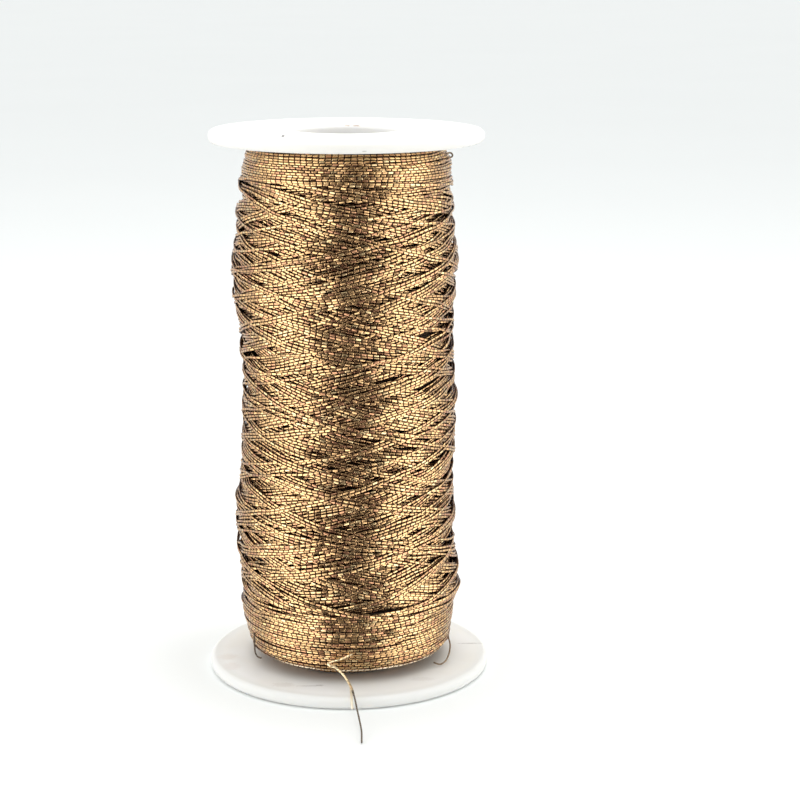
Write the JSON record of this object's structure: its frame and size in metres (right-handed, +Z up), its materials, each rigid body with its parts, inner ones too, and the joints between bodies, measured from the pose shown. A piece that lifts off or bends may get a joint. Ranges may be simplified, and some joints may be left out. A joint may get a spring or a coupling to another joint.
{
  "type": "spool of thread",
  "caption": "Moulded plastic sewing spool with two disc flanges on a hollow tube, cross-wound with metallic thread, its loose end trailing over the lower flange.",
  "frame": {"origin": "centre of the lower flange's outer face, on the surface that the spool stands on", "axes": "+Z up the spool's axis; the thread's loose end leaves towards -Y, the front; +X to the right"},
  "size_m": [0.0458, 0.0595, 0.088],
  "materials": {
    "flange_plastic": "white moulded plastic, satin",
    "tube_plastic": "white moulded plastic, satin",
    "metallic_thread": "antique gold foil wrapped thread, glossy in short segments with dark gaps"
  },
  "bodies": {
    "root": {"bottom_flange": "flange_plastic", "top_flange": "flange_plastic", "barrel": "tube_plastic", "thread_winding": "metallic_thread", "thread_tail": "metallic_thread"}
  },
  "joints": []
}
